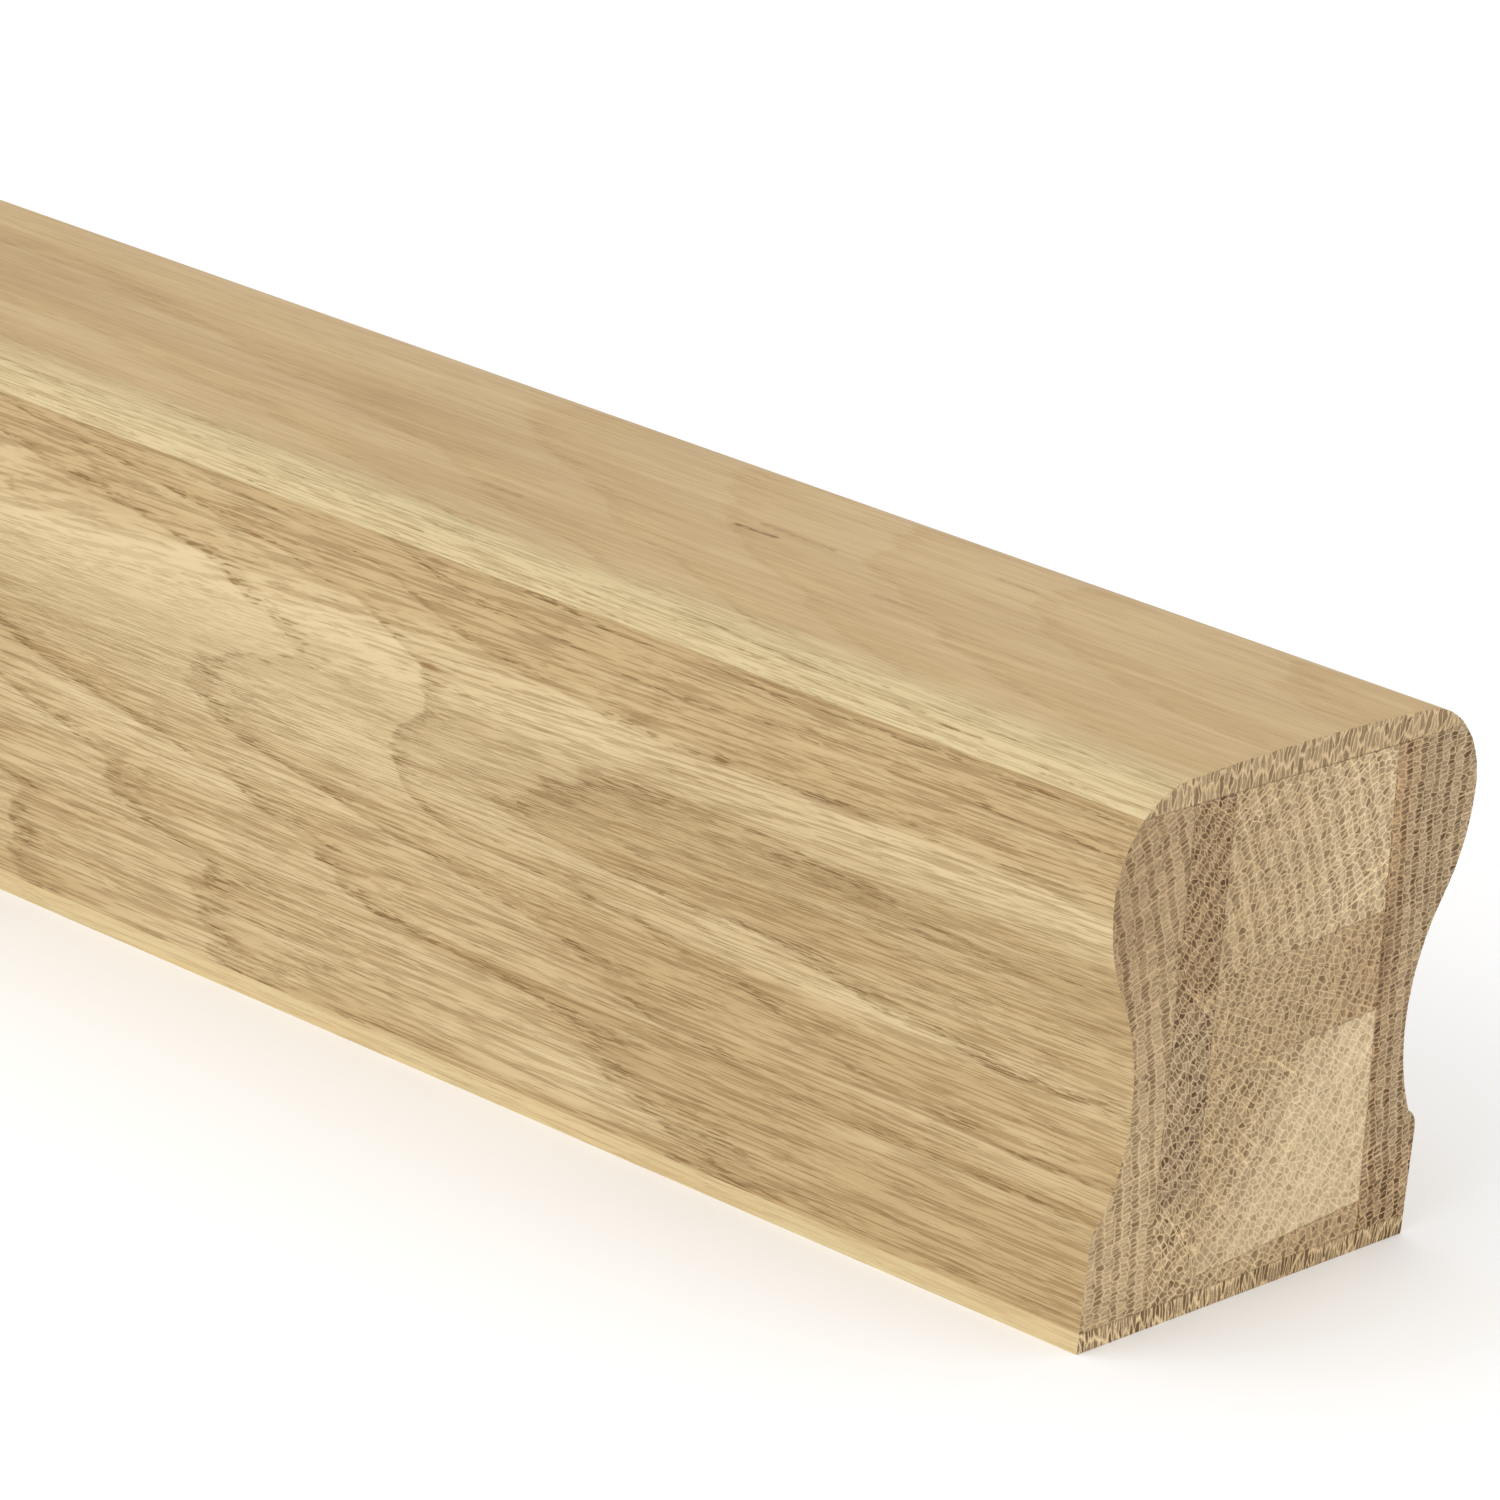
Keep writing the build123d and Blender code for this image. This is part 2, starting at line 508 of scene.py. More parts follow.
def end_grain(name, rings_of, heart, tone_of, seed, cell=0.8, reach=1.0, ragged=1.0, rows=1.0,
              depth_of=None):
    """Sawn oak seen across the grain.

    Pores fill a net of cells, drawn out along the rays. In a side stave they stand in rows
    along the rings, like the rungs of a ladder. Pale rays run through them.
    """
    material, tree, shader = new_material(name)
    shape, look = bpy.context.scene.rail_shape, bpy.context.scene.oak_look
    place = Place(tree)
    rings = rings_of(place)
    radius, tangent = place.about(heart)
    far = 0.013 * place.back
    phase = rings.fraction()
    early = phase.rise(0.0, 0.12) * phase.rise(0.85, 0.40)

    waver = noise(tree, place.stretched(40.0, 1.6, seed), detail=2.0) - 0.5
    grid = combine(
        tree, (rings + 0.25) * reach + 0.35 * waver, (tangent + 0.9 * waver) / cell + far, 0.0
    )
    settings = {"voronoi_dimensions": "2D", "feature": "DISTANCE_TO_EDGE"}
    inputs = {"Vector": grid, "Scale": 1.0, "Randomness": ragged}
    border = node(tree, "ShaderNodeTexVoronoi", settings, inputs)
    settings = {"voronoi_dimensions": "2D", "feature": "F1"}
    chance = node(tree, "ShaderNodeTexVoronoi", settings, inputs, output=1)
    chance = node(tree, "ShaderNodeSeparateXYZ", None, {0: chance})
    mottle = noise(tree, place.stretched(30.0, 0.30, seed + 4.0), detail=2.0, roughness=0.6)
    grit = noise(tree, place.stretched(30.0, 0.13, seed + 6.0), detail=1.0)
    ragged_border = border + 0.16 * (mottle - 0.5)
    filled = ragged_border.rise(0.08, 0.20)
    edge = ragged_border.rise(0.11, 0.02)
    pores = filled * (0.30 + 0.70 * chance) * (1.0 - 0.45 * rows * (1.0 - early))

    fine = noise(tree, combine(tree, radius / 6.0, tangent / 0.30, far + seed), detail=1.0)
    broad = noise(tree, combine(tree, radius / 14.0, tangent / 0.50, far + seed + 9.0), detail=0.0)
    rays = (0.6 * fine.rise(0.54, 0.66) + broad.rise(0.70, 0.76)).at_most(1.0)
    pores = pores * (1.0 - 0.75 * rays)

    clouds = noise(tree, place.stretched(60.0, 4.0, seed + 2.0), detail=2.0)
    tone = tone_of(place, look)
    depth = depth_of(place) if depth_of else 1.0
    light = 0.30 * edge + 0.28 * rays + 1.2 * (grit - 0.5) + 0.9 * (mottle - 0.5)
    gain = END_GAIN + depth * light + 0.4 * (clouds - 0.5)
    body = shaded(
        tree, tone, gain, (0.80 * depth * pores, PORE_TINT), (0.35 * rows * depth * early, LINE_TINT),
        (0.35 * joint_lines(place, shape), PORE_TINT),
    )
    height = 0.6 + 0.3 * rays - 0.6 * pores + 0.3 * (grit - 0.5)
    finish_material(tree, shader, body, 0.78 + 0.1 * pores, height, END_RELIEF)
    return material


# Tones of the sawn ends, piece by piece


def left_stave_tone(place, look):
    """Browner towards the shoulder and lighter towards the base."""
    amount = (0.75 * place.up.rise(46.0, 8.0) + 0.35 * place.across.rise(-27.0, -19.0)).at_most(1.0)
    return mix_tones(place.tree, amount, look.brown_end, look.light_end)


def right_stave_tone(place, look):
    """Reddish near its joint, with a dark streak at the waist and blotches in the foot."""
    tree, across, up = place.tree, place.across, place.up
    body = mix_tones(tree, across.rise(15.0, 22.0), look.red_end, look.grey_end)
    body = mix_colour(tree, 0.5 * up.rise(14.0, 6.0), body, colour(look.red_end))
    streak = across.bell(17.4, 1.3) * up.bell(34.0, 6.5)
    blotch = 0.6 * across.bell(21.0, 2.0) * up.bell(5.5, 2.6)
    dot = across.bell(17.2, 0.28) * up.bell(37.4, 0.22)
    body = mix_colour(tree, 0.45 * (streak + blotch).at_most(1.0), body, PORE_TINT, blend="MULTIPLY")
    return mix_colour(tree, dot, body, PORE_TINT, blend="MULTIPLY")


def strip_tone(place, look):
    """Dark brown above, grey in the middle and warmer at the foot."""
    tree, up = place.tree, place.up
    body = mix_tones(tree, up.rise(31.0, 37.0), look.grey_end, look.brown_end)
    return mix_colour(tree, up.rise(14.0, 11.0), body, colour(look.light_end))


UPPER_BLOCK_RAYS = [
    (0.7, (-11.1, 51.5), (-1.5, 56.25), 0.16),
    (0.7, (-8.5, 46.0), (0.0, 50.0), 0.16),
]
LOWER_BLOCK_RAYS = [(0.6, (4.5, 12.75), (16.25, 6.0), 0.18)]


def upper_block_tone(place, look):
    """Cream towards the right, with two long rays on the left."""
    tree, across, up = place.tree, place.across, place.up
    amount = 0.10 + 0.55 * across.rise(-9.0, 15.0)
    body = mix_tones(tree, amount, look.tan_end, look.cream_end)
    return mix_colour(tree, strokes(across, up, UPPER_BLOCK_RAYS), body, colour(look.cream_end))


def middle_block_tone(place, look):
    """An even reddish brown."""
    amount = 0.5 * place.across.rise(6.0, 14.0)
    return mix_tones(place.tree, amount, look.tan_end, look.red_end)


def towards_lower_right(place):
    """0 at the upper left of the lower block and 1 at its lower right."""
    return ((place.across + 6.0) / 17.0 + (20.0 - place.up) / 24.0).rise(0.0, 1.0)


def lower_block_tone(place, look):
    """From grey-brown at its upper left to cream at its lower right."""
    tree, across, up = place.tree, place.across, place.up
    amount = 0.1 + 0.9 * towards_lower_right(place)
    body = mix_tones(tree, amount, look.tan_end, look.cream_end)
    return mix_colour(tree, strokes(across, up, LOWER_BLOCK_RAYS), body, colour(look.cream_end))


def foot_strip_tone(place, look):
    """Lighter on the left."""
    amount = 0.5 * place.across.rise(0.0, 8.0)
    return mix_tones(place.tree, amount, look.light_end, look.red_end)


def top_tone(place, look):
    """An even tan."""
    amount = 0.15 * place.up.rise(57.0, 60.0)
    return mix_tones(place.tree, amount, look.tan_end, look.light_end)


def base_tone(place, look):
    """Browner towards the right."""
    amount = place.across.rise(-8.0, 8.0)
    return mix_tones(place.tree, amount, look.light_end, look.tan_end)


def right_stave_depth(place):
    """Coarse, deeply shaded pores, most of all in the foot."""
    return 1.35 + 0.5 * place.up.rise(14.0, 6.0)


def base_depth(place):
    """Deeply shaded pores."""
    return 1.5


def strip_depth(place):
    """Coarser in the strip's upper half."""
    return 1.25 + 0.2 * place.up.rise(14.0, 20.0)


def lower_block_depth(place):
    """Finer towards the cream lower right."""
    return 1.1 - 0.5 * towards_lower_right(place)


# Each piece of the core: its tree's heart, the width of its rings, its tone and its depth
CORE = {
    "core_left_strip": ((-103.0, 110.0), 2.2, strip_tone, strip_depth),
    "core_upper_block": ((-136.0, -16.0), 2.4, upper_block_tone, None),
    "core_block": ((-113.0, 73.0), 1.9, middle_block_tone, None),
    "core_lower_block": ((-85.0, 81.0), 2.6, lower_block_tone, lower_block_depth),
    "core_foot_strip": ((-60.0, 40.0), 1.8, foot_strip_tone, None),
}


def left_zone(place):
    """Broad tones of the left side: a pale valley that widens towards the loops behind it."""
    back, up = place.back, place.up
    middle = 45.5 - 4.0 * back.rise(55.0, 125.0)
    valley = up.bell(middle, 2.6 + 6.5 * back.rise(55.0, 120.0)) * back.rise(260.0, 150.0)
    valley = valley * (0.55 + 0.40 * back.rise(80.0, 125.0))
    under_tongue = up.bell(24.8, 1.2) * back.rise(90.0, 60.0)
    low = up.bell(7.0, 3.0) * back.bell(68.0, 16.0)
    behind_tongue = up.bell(31.0, 7.0) * back.bell(100.0, 35.0)
    pale = valley + 0.5 * under_tongue + 0.6 * low + 0.48 * behind_tongue

    # The band under the seam faces up towards the softbox. Its darkening is partly the wood's own darker
    # tone and partly painted shade that evens out the stronger light there.
    seam_band_tone_and_shade = up.rise(47.0, 51.0)
    foot = up.rise(26.0, 22.0) * (0.35 * back.rise(95.0, 60.0) - 0.12)
    below = up.bell(18.0, 4.0) * back.bell(40.0, 25.0)
    dark = 0.35 * seam_band_tone_and_shade + foot + 0.15 * below + 0.25 * back.rise(145.0, 185.0)
    return 0.68 + dark - pale + 0.8 * drift(place, 30.0, 4.0, 66.0)


def top_zone(place):
    """Broad tones of the top: darker towards the far end's left half, and in one soft patch."""
    back, across = place.back, place.across
    far = back.rise(90.0, 130.0) * across.bell(0.0, 5.0)
    patch = back.bell(100.0, 16.0) * across.bell(14.0, 6.0)
    left = 0.20 * back.rise(50.0, 90.0) * across.rise(14.0, 2.0)
    return 0.34 + left + 0.35 * far + 0.30 * patch + 0.9 * drift(place, 40.0, 6.0, 55.0)


def left_slope(place):
    """Fine lines of the left side rise towards the near end, most at the bulge."""
    return 0.05 * place.up.bell(41.0, 10.0)


def seam_edge(place, tone, pores, lines):
    """The side's last hair under the seam is darker, and the loops behind the valley are smooth."""
    lines = lines * (1.0 - 0.6 * place.up.bell(42.0, 7.0) * place.back.bell(128.0, 32.0))
    line = place.up.bell(56.55, 0.12)
    pimple = place.back.bell(39.5, 0.6) * place.up.bell(7.7, 0.5)
    return tone, (pores + 0.12 * line + 0.4 * pimple).at_most(1.0), lines


# Dark marks on the top, by their place back and across, and on the shoulder, back and up
TOP_FLECKS = [
    (1.3, (73.5, 2.1), (79.5, 1.8), 0.4),
    (0.5, (67.0, 4.2), (78.0, 4.5), 0.5),
    (0.4, (46.0, 12.7), (52.0, 12.9), 0.5),
    (0.4, (48.0, -3.9), (55.0, -3.7), 0.5),
    (0.4, (98.0, -11.0), (104.0, -11.2), 0.4),
]
SHOULDER_DASHES = [
    (0.6, (8.0, 57.2), (14.0, 57.1), 0.1),
    (0.6, (22.0, 57.9), (28.0, 57.8), 0.1),
    (0.36, (30.0, 58.1), (66.0, 58.7), 0.1),
]


def pale_shoulder(look):
    """The strip of sapwood along the left shoulder of the top lamella, and its dark flecks."""

    def extra(place, tone, pores, lines):
        tree, back, across = place.tree, place.back, place.across
        waver = drift(place, 50.0, 3.0, 40.0)
        strands = noise(tree, place.stretched(30.0, 0.8, 42.0), detail=2.0, roughness=0.6) - 0.5
        strip = (across + 5.0 * waver + 9.0 * strands).rise(-16.5, -24.0)
        tone = mix_colour(tree, 0.85 * strip, tone, colour(look.sapwood))
        rough = noise(tree, place.stretched(1.6, 0.30, 41.0), detail=2.0, roughness=0.7).rise(0.30, 0.62)
        flecks = strokes(back, across, TOP_FLECKS) + strokes(back, place.up, SHOULDER_DASHES)
        flecks = (flecks * rough).at_most(1.0)
        tone = mix_colour(tree, 0.5 * flecks, tone, PORE_TINT, blend="MULTIPLY")
        pores = pores * (1.0 + 1.2 * strip) + flecks
        return tone, pores.at_most(1.0), lines * (1.0 + strip)

    return extra


# Geometry


def leg(hypotenuse, other):
    """The remaining side of a right-angled triangle."""
    return math.sqrt(hypotenuse**2 - other**2)


def arc_points(centre, radius, start, end, step):
    """Points along the shorter arc about a centre between two bearings, without the last."""
    first = math.atan2(start[1] - centre[1], start[0] - centre[0])
    last = math.atan2(end[1] - centre[1], end[0] - centre[0])
    sweep = (last - first + math.pi) % math.tau - math.pi
    count = max(2, round(abs(sweep) * radius / step))
    angles = [first + sweep * i / count for i in range(count)]
    return [(centre[0] + radius * math.cos(a), centre[1] + radius * math.sin(a)) for a in angles]


def side_line(shape):
    """The right-hand side of the section, from the foot of the base up to the crown."""
    half = shape.width / 2
    waist = half - shape.waist_inset
    base = half - shape.base_inset
    arris_y = base - shape.arris_inset
    crown = (0.0, shape.height - shape.crown_radius)
    shoulder_y = half - shape.shoulder_radius
    widest_z = crown[1] + leg(shape.crown_radius - shape.shoulder_radius, shoulder_y)
    shoulder = (shoulder_y, widest_z)
    bulge = (half - shape.bulge_radius, widest_z)
    cove_y = waist + shape.cove_radius
    cove = (cove_y, widest_z - leg(shape.bulge_radius + shape.cove_radius, cove_y - bulge[0]))
    arris = (arris_y, cove[1] - leg(shape.cove_radius, cove_y - arris_y))
    ovolo_y = base - shape.ovolo_radius
    ovolo = (ovolo_y, arris[1] - leg(shape.ovolo_radius, arris_y - ovolo_y))
    widest = (half, widest_z)
    above_shoulder = (2 * shoulder[0] - crown[0], 2 * shoulder[1] - crown[1])
    top = (0.0, shape.height)
    step = shape.facet
    upright = max(2, round(ovolo[1] / step))
    return (
        [(base, ovolo[1] * i / upright) for i in range(upright)]
        + arc_points(ovolo, shape.ovolo_radius, (base, ovolo[1]), arris, step)
        + arc_points(cove, shape.cove_radius, arris, bulge, step)
        + arc_points(bulge, shape.bulge_radius, cove, widest, step)
        + arc_points(shoulder, shape.shoulder_radius, widest, above_shoulder, step)
        + arc_points(crown, shape.crown_radius, shoulder, top, step)
        + [top]
    ), cove[1]


def between(line, low, high):
    """The part of a rising line between two heights, with its ends on them."""
    cut = []
    for (y0, z0), (y1, z1) in zip(line, line[1:]):
        for level in (low, high):
            if z0 < level < z1:
                share = (level - z0) / (z1 - z0)
                cut.append((y0 + share * (y1 - y0), level))
    inner = [point for point in line if low <= point[1] <= high]
    return sorted(set(inner + cut), key=lambda point: point[1])


def left_at_waist(shape):
    """Where the left stave's joint stands at the waist, in metres across."""
    return shape.waist_inset + shape.stave_at_waist - shape.width / 2


def right_at_waist(shape):
    """Where the right stave's joint stands at the waist, in metres across."""
    return -left_at_waist(shape)


def outlines(shape):
    """Each piece's outline, as points (y, z): those on the moulded surface, then the others."""
    line, waist_z = side_line(shape)
    low, high = shape.bottom_lamella, shape.height - shape.top_lamella
    levels = (0.0, low, high, shape.height)
    lower, middle, upper = (between(line, *pair) for pair in zip(levels, levels[1:]))
    tilt = math.tan(shape.right_lean)
    left = (left_at_waist(shape), math.tan(shape.left_lean))
    strip = (left[0] + shape.core_strip, left[1])
    right = (right_at_waist(shape), tilt)

    def mirrored(points):
        return [(-y, z) for y, z in points]

    def at(joint, height, slope=0.0):
        """Where a leaning joint meets a line that passes the middle at a height."""
        y = (joint[0] - joint[1] * (height - waist_z)) / (1.0 + joint[1] * slope)
        return (y, height + slope * y)

    def block(bottom, top):
        """A block between the strip and the right stave, with bottom and top as (height, slope)."""
        return [], [at(right, *bottom), at(right, *top), at(strip, *top), at(strip, *bottom)]

    floor, ceiling = (low, 0.0), (high, 0.0)
    foot, middling, head = (
        (height, tilt) for height in (shape.foot_joint, shape.lower_joint, shape.upper_joint)
    )
    return {
        "top_lamella": (upper + mirrored(upper)[-2::-1], []),
        "left_stave": (mirrored(middle)[::-1], [at(left, low), at(left, high)]),
        "core_left_strip": ([], [at(strip, low), at(strip, high), at(left, high), at(left, low)]),
        "core_upper_block": block(head, ceiling),
        "core_block": block(middling, head),
        "core_lower_block": block(foot, middling),
        "core_foot_strip": block(floor, foot),
        "right_stave": (middle, [at(right, high), at(right, low)]),
        "bottom_lamella": (mirrored(lower)[::-1] + lower, []),
    }


def outline_object(name, outer, inner):
    """A closed outline, turned so that the sweep stands it upright. Outer points are moulded."""
    mesh = bpy.data.meshes.new(name)
    points = [(-y, -z, 0.0) for y, z in outer + inner]
    edges = [(i, (i + 1) % len(points)) for i in range(len(points))]
    mesh.from_pydata(points, edges, [])
    moulded = mesh.attributes.new("moulded", "FLOAT", "POINT")
    moulded.data.foreach_set("value", [1.0] * len(outer) + [0.0] * len(inner))
    made = bpy.data.objects.new(name, mesh)
    bpy.context.scene.collection.objects.link(made)
    return made


SWEEP = "Run along the rail"
# How near a point lies to the sawn end to be on it, in metres, and how fine the wear is
CLOSE = 0.00001
WEAR_SCALE = 1600.0
# An edge with a larger angle than this stays sharp.
SHARP = math.radians(25.0)
# A face whose normal lies nearer than this to the rail's length belongs to a sawn end.
END_FACING = 0.9

SWEEP_INPUTS = {
    "Length": "NodeSocketFloat",
    "Spans": "NodeSocketInt",
    "Wear": "NodeSocketFloat",
    "Wear scale": "NodeSocketFloat",
    "Middle height": "NodeSocketFloat",
    "Face": "NodeSocketMaterial",
    "End": "NodeSocketMaterial",
}


def sweep_tree():
    """Geometry nodes that run an outline along the rail and wear the two sawn edges."""
    tree = bpy.data.node_groups.new(SWEEP, "GeometryNodeTree")
    face = tree.interface
    face.new_socket("Geometry", in_out="INPUT", socket_type="NodeSocketGeometry")
    for name, kind in SWEEP_INPUTS.items():
        face.new_socket(name, in_out="INPUT", socket_type=kind)
    face.new_socket("Geometry", in_out="OUTPUT", socket_type="NodeSocketGeometry")
    source = tree.nodes.new("NodeGroupInput")

    def given(name):
        return Wire(tree, source.outputs[name])

    # The path's points gather towards both ends, as a sine does.
    half = given("Length") * 0.5
    start = combine(tree, half * -1.0, 0.0, 0.0)
    end = combine(tree, half, 0.0, 0.0)
    line = node(tree, "GeometryNodeCurvePrimitiveLine", None, {"Start": start, "End": end})
    line = node(tree, "GeometryNodeResampleCurve", None, {"Curve": line, "Count": given("Spans")})
    factor = node(tree, "GeometryNodeSplineParameter")
    gathered = ((factor - 0.5) * math.pi).math("SINE") * half
    inputs = {"Geometry": line, "Position": combine(tree, gathered, 0.0, 0.0)}
    path = node(tree, "GeometryNodeSetPosition", None, inputs)
    path = node(tree, "GeometryNodeSetCurveNormal", {"mode": "Z_UP"}, {"Curve": path})
    profile = node(tree, "GeometryNodeMeshToCurve", None, {"Mesh": given("Geometry")})
    inputs = {"Curve": path, "Profile Curve": profile, "Fill Caps": True}
    solid = node(tree, "GeometryNodeCurveToMesh", None, inputs)

    # Fibres along each sawn edge are broken back a little towards the middle of the section.
    place = node(tree, "GeometryNodeInputPosition")
    split = node(tree, "ShaderNodeSeparateXYZ", None, {0: place})
    x, y, z = (Wire(tree, split.socket.node.outputs[i]) for i in range(3))
    moulded = node(tree, "GeometryNodeInputNamedAttribute", {"data_type": "FLOAT"}, {"Name": "moulded"})
    at_end = (abs(x) - half + CLOSE).math("GREATER_THAN", 0.0)
    grit = noise(tree, place, detail=2.0, scale=given("Wear scale"))
    inward = combine(tree, 0.0, y * -1.0, given("Middle height") - z)
    inward = node(tree, "ShaderNodeVectorMath", {"operation": "NORMALIZE"}, {0: inward})
    reach = at_end * moulded * given("Wear") * grit.rise(0.35, 0.75)
    offset = scaled(tree, inward, reach)
    solid = node(tree, "GeometryNodeSetPosition", None, {"Geometry": solid, "Offset": offset})

    normal = node(tree, "GeometryNodeInputNormal")
    facing = node(tree, "ShaderNodeSeparateXYZ", None, {0: normal})
    is_end = abs(facing).math("GREATER_THAN", END_FACING)
    solid = node(tree, "GeometryNodeRealizeInstances", None, {"Geometry": solid})
    inputs = {"Geometry": solid, "Material": given("Face")}
    solid = node(tree, "GeometryNodeSetMaterial", None, inputs)
    inputs = {"Geometry": solid, "Selection": is_end, "Material": given("End")}
    solid = node(tree, "GeometryNodeSetMaterial", None, inputs)
    result = tree.nodes.new("NodeGroupOutput")
    tree.links.new(solid.socket, result.inputs[0])
    return tree


def set_inputs(modifier, values):
    """Sets a node modifier's inputs by their sockets' identifiers."""
    for item in modifier.node_group.interface.items_tree:
        if item.item_type == "SOCKET" and item.in_out == "INPUT" and item.name in values:
            modifier[item.identifier] = values[item.name]


# The map for baked copies of a piece, as shares of its square
BAKE_MAP = "OFBake"
MAP_MARGIN = 0.004
NEAR_END_WIDTH, NEAR_END_HEIGHT = 0.62, 0.30


def lay_out(mesh, count):
    """Gives a piece a map for its baked copies. Count is the number of points in its outline.

    The sides are unrolled into one strip. The ends lie under it, the near one at twice the
    far one's scale.
    """
    ring = [vertex.co for vertex in mesh.vertices[count : 2 * count]]
    girth = [0.0]
    for here, after in zip(ring, ring[1:] + ring[:1]):
        girth.append(girth[-1] + (after - here).length)
    low = Vector([min(values) for values in zip(*ring)])
    high = Vector([max(values) for values in zip(*ring)])
    middle, extent = (low + high) / 2, high - low
    upright = extent.z > extent.y
    long, short = max(extent.yz), min(extent.yz)
    scale = min(NEAR_END_WIDTH / long, NEAR_END_HEIGHT / short)
    ends_height = short * scale
    foot = ends_height + 2 * MAP_MARGIN
    near_centre = Vector((MAP_MARGIN + long * scale / 2, MAP_MARGIN + ends_height / 2))
    far_centre = near_centre + Vector((long * scale * 0.75 + MAP_MARGIN, 0.0))
    layer = mesh.uv_layers.new(name=BAKE_MAP)

    def on_end(point):
        """The place of a point of either sawn end, each seen from outside."""
        is_near = point.x > 0
        across, up = point.y - middle.y, point.z - middle.z
        if not is_near:
            across = -across
        offset = Vector((up, -across) if upright else (across, up)) * scale
        return near_centre + offset if is_near else far_centre + offset / 2

    def on_side(point, turned):
        """The place of a point of the sides, so far round the outline."""
        back = (NEAR_END - point.x) / (CAD_HIGH.x - CAD_LOW.x)
        return back, foot + (1.0 - foot) * turned / girth[-1]

    for face in mesh.polygons:
        is_end = abs(face.normal.x) > END_FACING
        numbers = [mesh.loops[corner].vertex_index for corner in face.loop_indices]
        closes = any(number % count == count - 1 for number in numbers)
        for corner, number in zip(face.loop_indices, numbers):
            point = mesh.vertices[number].co
            order = number % count or (count if closes else 0)
            layer.uv[corner].vector = on_end(point) if is_end else on_side(point, girth[order])


def run_piece(name, face, end):
    """Makes one glued piece of the rail at its full length, in place of its plain solid."""
    shape = bpy.context.scene.rail_shape
    outer, inner = outlines(shape)[name]
    piece = outline_object(f"oak_{name}", outer, inner)
    modifier = piece.modifiers.new(SWEEP, "NODES")
    modifier.node_group = bpy.data.node_groups.get(SWEEP) or sweep_tree()
    values = {
        "Length": shape.length,
        "Spans": shape.spans,
        "Wear": shape.wear,
        "Wear scale": WEAR_SCALE,
        "Middle height": shape.height / 2,
        "Face": face,
        "End": end,
    }
    set_inputs(modifier, values)
    evaluated = piece.evaluated_get(bpy.context.evaluated_depsgraph_get())
    mesh = bpy.data.meshes.new_from_object(evaluated)
    piece.modifiers.clear()
    piece.data = mesh
    mesh.shade_smooth()
    mesh.set_sharp_from_angle(angle=SHARP)
    lay_out(mesh, len(outer) + len(inner))
    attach(piece, BODY)
    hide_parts(name)
    return piece


# Operators

LAMELLA_NET = {"cell": 0.60, "reach": 0.35, "ragged": 0.9, "rows": 0.0}


class RAIL_OT_top_lamella(bpy.types.Operator):
    """Add the board that forms the crown"""

    bl_idname = "rail.top_lamella"
    bl_label = "Top Lamella"

    def execute(self, context):
        look = context.scene.oak_look
        face = long_grain(
            "oak_top_face", top_rings, look.top_pale, look.top_tan, seed=50.0, zone_of=top_zone,
            contrast=0.18, streaky=1.15, line_share=0.4, pore_share=0.35, extra=pale_shoulder(look),
        )
        end = end_grain(
            "oak_top_end", top_rings, (-8.0, -150.0), top_tone, seed=51.0, **LAMELLA_NET
        )
        run_piece("top_lamella", face, end)
        return {"FINISHED"}


class RAIL_OT_side_staves(bpy.types.Operator):
    """Add the moulded stave on each side"""

    bl_idname = "rail.side_staves"
    bl_label = "Side Staves"

    def execute(self, context):
        look = context.scene.oak_look
        staves = {
            "left_stave": (
                left_stave_rings, LEFT_HEART, left_stave_tone, left_zone, left_slope, None
            ),
            "right_stave": (
                right_stave_rings, RIGHT_HEART, right_stave_tone, None, None, right_stave_depth
            ),
        }
        for order, (name, parts) in enumerate(staves.items()):
            rings_of, heart, tone_of, zone_of, slope_of, depth_of = parts
            face = long_grain(
                f"oak_{name}_face", rings_of, look.pale, look.tan, seed=60.0 + 7.0 * order,
                zone_of=zone_of, slope_of=slope_of, extra=seam_edge,
            )
            end = end_grain(
                f"oak_{name}_end", rings_of, heart, tone_of, seed=70.0 + 7.0 * order,
                cell=0.64, reach=2.0, ragged=0.5, depth_of=depth_of,
            )
            run_piece(name, face, end)
        return {"FINISHED"}


class RAIL_OT_core(bpy.types.Operator):
    """Add the core: its upright strip and the blocks stacked beside it"""

    bl_idname = "rail.core"
    bl_label = "Core"

    def execute(self, context):
        look = context.scene.oak_look
        for order, (name, (heart, ring_width, tone_of, depth_of)) in enumerate(CORE.items()):
            rings_of = heart_rings(heart, ring_width)
            face = long_grain(
                f"oak_{name}_face", rings_of, look.pale, look.tan, seed=80.0 + 7.0 * order
            )
            end = end_grain(
                f"oak_{name}_end", rings_of, heart, tone_of, seed=120.0 + 7.0 * order,
                cell=0.68, reach=ring_width, depth_of=depth_of,
            )
            run_piece(name, face, end)
        return {"FINISHED"}


class RAIL_OT_bottom_lamella(bpy.types.Operator):
    """Add the board underneath"""

    bl_idname = "rail.bottom_lamella"
    bl_label = "Bottom Lamella"

    def execute(self, context):
        look = context.scene.oak_look
        face = long_grain(
            "oak_base_face", base_rings, look.sapwood, look.top_pale, seed=90.0,
            contrast=0.3, line_share=0.5, pore_share=0.4,
        )
        end = end_grain(
            "oak_base_end", base_rings, (5.0, -150.0), base_tone, seed=91.0,
            depth_of=base_depth, **LAMELLA_NET
        )
        run_piece("bottom_lamella", face, end)
        return {"FINISHED"}


CLIP_START, CLIP_END = 0.05, 100.0
FLOOR_REACH = 40.0
SOFTBOX_WIDTH, SOFTBOX_HEIGHT = 2.6, 1.6
SOFTBOX_PLACE = (NEAR_END - 0.6, -1.7, 0.8)
SOFTBOX_AIM = (NEAR_END - 0.2, 0.0, 0.03)


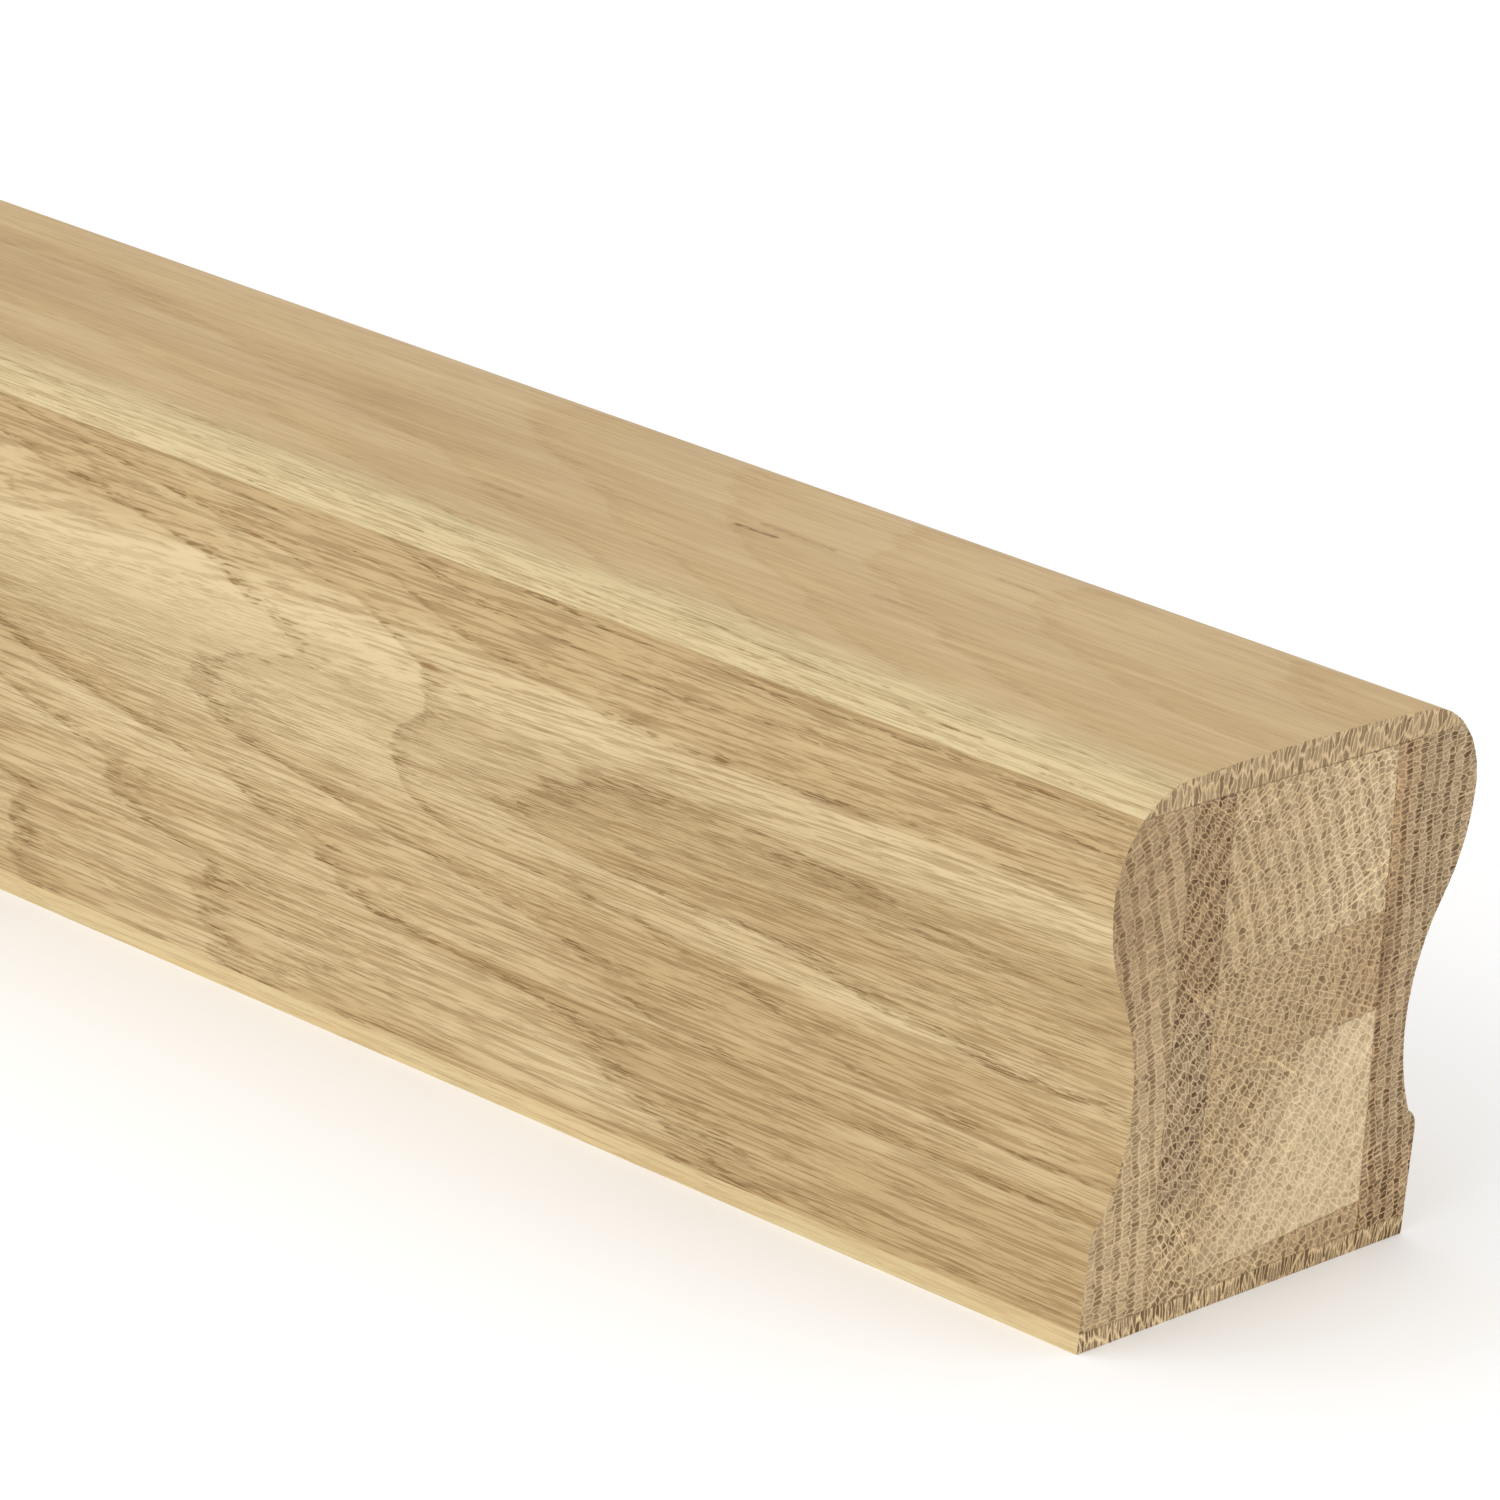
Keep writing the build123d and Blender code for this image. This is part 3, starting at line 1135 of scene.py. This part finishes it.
def add_camera(studio):
    """The camera, from where the photograph sees the foot of the near end."""
    azimuth, elevation, roll = studio.azimuth, studio.elevation, studio.roll
    level = Vector((math.cos(azimuth), math.sin(azimuth), 0.0))
    ahead = Vector((math.sin(azimuth), -math.cos(azimuth), 0.0))
    back = math.cos(elevation) * ahead + math.sin(elevation) * Vector((0.0, 0.0, 1.0))
    upright = back.cross(level)
    right = math.cos(roll) * level + math.sin(roll) * upright
    up = math.cos(roll) * upright - math.sin(roll) * level
    middle = studio.picture / 2
    aside = (studio.foot_column - middle) / studio.focal_pixels
    below = (studio.foot_row - middle) / studio.focal_pixels
    foot = Vector((NEAR_END, 0.0, CAD_LOW.z))
    place = foot + studio.distance * (back - aside * right + below * up)
    data = bpy.data.cameras.new("camera")
    data.lens = data.sensor_width * studio.focal_pixels / studio.picture
    data.clip_start, data.clip_end = CLIP_START, CLIP_END
    camera = bpy.data.objects.new("camera", data)
    rotation = Matrix((right, up, back)).transposed().to_4x4()
    camera.matrix_world = Matrix.Translation(place) @ rotation
    bpy.context.scene.collection.objects.link(camera)
    bpy.context.scene.camera = camera


def add_softbox(power):
    """A large rectangular light that faces the left side near its sawn end."""
    data = bpy.data.lights.new("side_softbox", "AREA")
    data.shape = "RECTANGLE"
    data.size, data.size_y = SOFTBOX_WIDTH, SOFTBOX_HEIGHT
    data.energy = power
    light = bpy.data.objects.new("side_softbox", data)
    light.location = SOFTBOX_PLACE
    facing = Vector(SOFTBOX_AIM) - Vector(SOFTBOX_PLACE)
    light.rotation_euler = facing.to_track_quat("-Z", "Y").to_euler()
    bpy.context.scene.collection.objects.link(light)


def add_floor(studio):
    """A plain pale floor."""
    mesh = bpy.data.meshes.new("floor")
    signs = ((-1, -1), (1, -1), (1, 1), (-1, 1))
    corners = [(x * FLOOR_REACH, y * FLOOR_REACH, CAD_LOW.z) for x, y in signs]
    mesh.from_pydata(corners, [], [(0, 1, 2, 3)])
    material, tree, shader = new_material("floor")
    shader.inputs["Base Color"].default_value = colour(studio.floor)
    shader.inputs["Roughness"].default_value = 0.9
    mesh.materials.append(material)
    floor = bpy.data.objects.new("floor", mesh)
    bpy.context.scene.collection.objects.link(floor)


class RAIL_OT_studio(bpy.types.Operator):
    """Add the camera, the floor and the light"""

    bl_idname = "rail.studio"
    bl_label = "Studio"

    def execute(self, context):
        studio = context.scene.rail_studio
        add_camera(studio)
        add_floor(studio)
        world = bpy.data.worlds.new("studio")
        world.use_nodes = True
        backdrop = world.node_tree.nodes["Background"]
        backdrop.inputs["Color"].default_value = (1.0, 1.0, 1.0, 1.0)
        backdrop.inputs["Strength"].default_value = studio.sky
        context.scene.world = world
        context.scene.view_settings.view_transform = "Standard"
        add_softbox(studio.key)
        return {"FINISHED"}


class RAIL_PT_panel(bpy.types.Panel):
    """The handrail's pieces, sizes and colours"""

    bl_label = "Handrail"
    bl_space_type = "VIEW_3D"
    bl_region_type = "UI"
    bl_category = "Handrail"

    def draw(self, context):
        layout = self.layout
        for operator in OPERATORS:
            layout.operator(operator.bl_idname)
        for group in (context.scene.rail_shape, context.scene.oak_look, context.scene.rail_studio):
            box = layout.box()
            for name in group.bl_rna.properties.keys()[2:]:
                box.prop(group, name)


OPERATORS = (
    RAIL_OT_top_lamella,
    RAIL_OT_side_staves,
    RAIL_OT_core,
    RAIL_OT_bottom_lamella,
    RAIL_OT_studio,
)
CLASSES = (RailShape, OakLook, Studio, *OPERATORS, RAIL_PT_panel)


def register():
    for cls in CLASSES:
        bpy.utils.register_class(cls)
    bpy.types.Scene.rail_shape = bpy.props.PointerProperty(type=RailShape)
    bpy.types.Scene.oak_look = bpy.props.PointerProperty(type=OakLook)
    bpy.types.Scene.rail_studio = bpy.props.PointerProperty(type=Studio)


def unregister():
    del bpy.types.Scene.rail_studio
    del bpy.types.Scene.oak_look
    del bpy.types.Scene.rail_shape
    for cls in reversed(CLASSES):
        bpy.utils.unregister_class(cls)


def main():
    """Registers the add-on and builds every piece."""
    register()
    bpy.ops.rail.top_lamella()
    bpy.ops.rail.side_staves()
    bpy.ops.rail.core()
    bpy.ops.rail.bottom_lamella()
    bpy.ops.rail.studio()


if __name__ == "__main__":
    main()
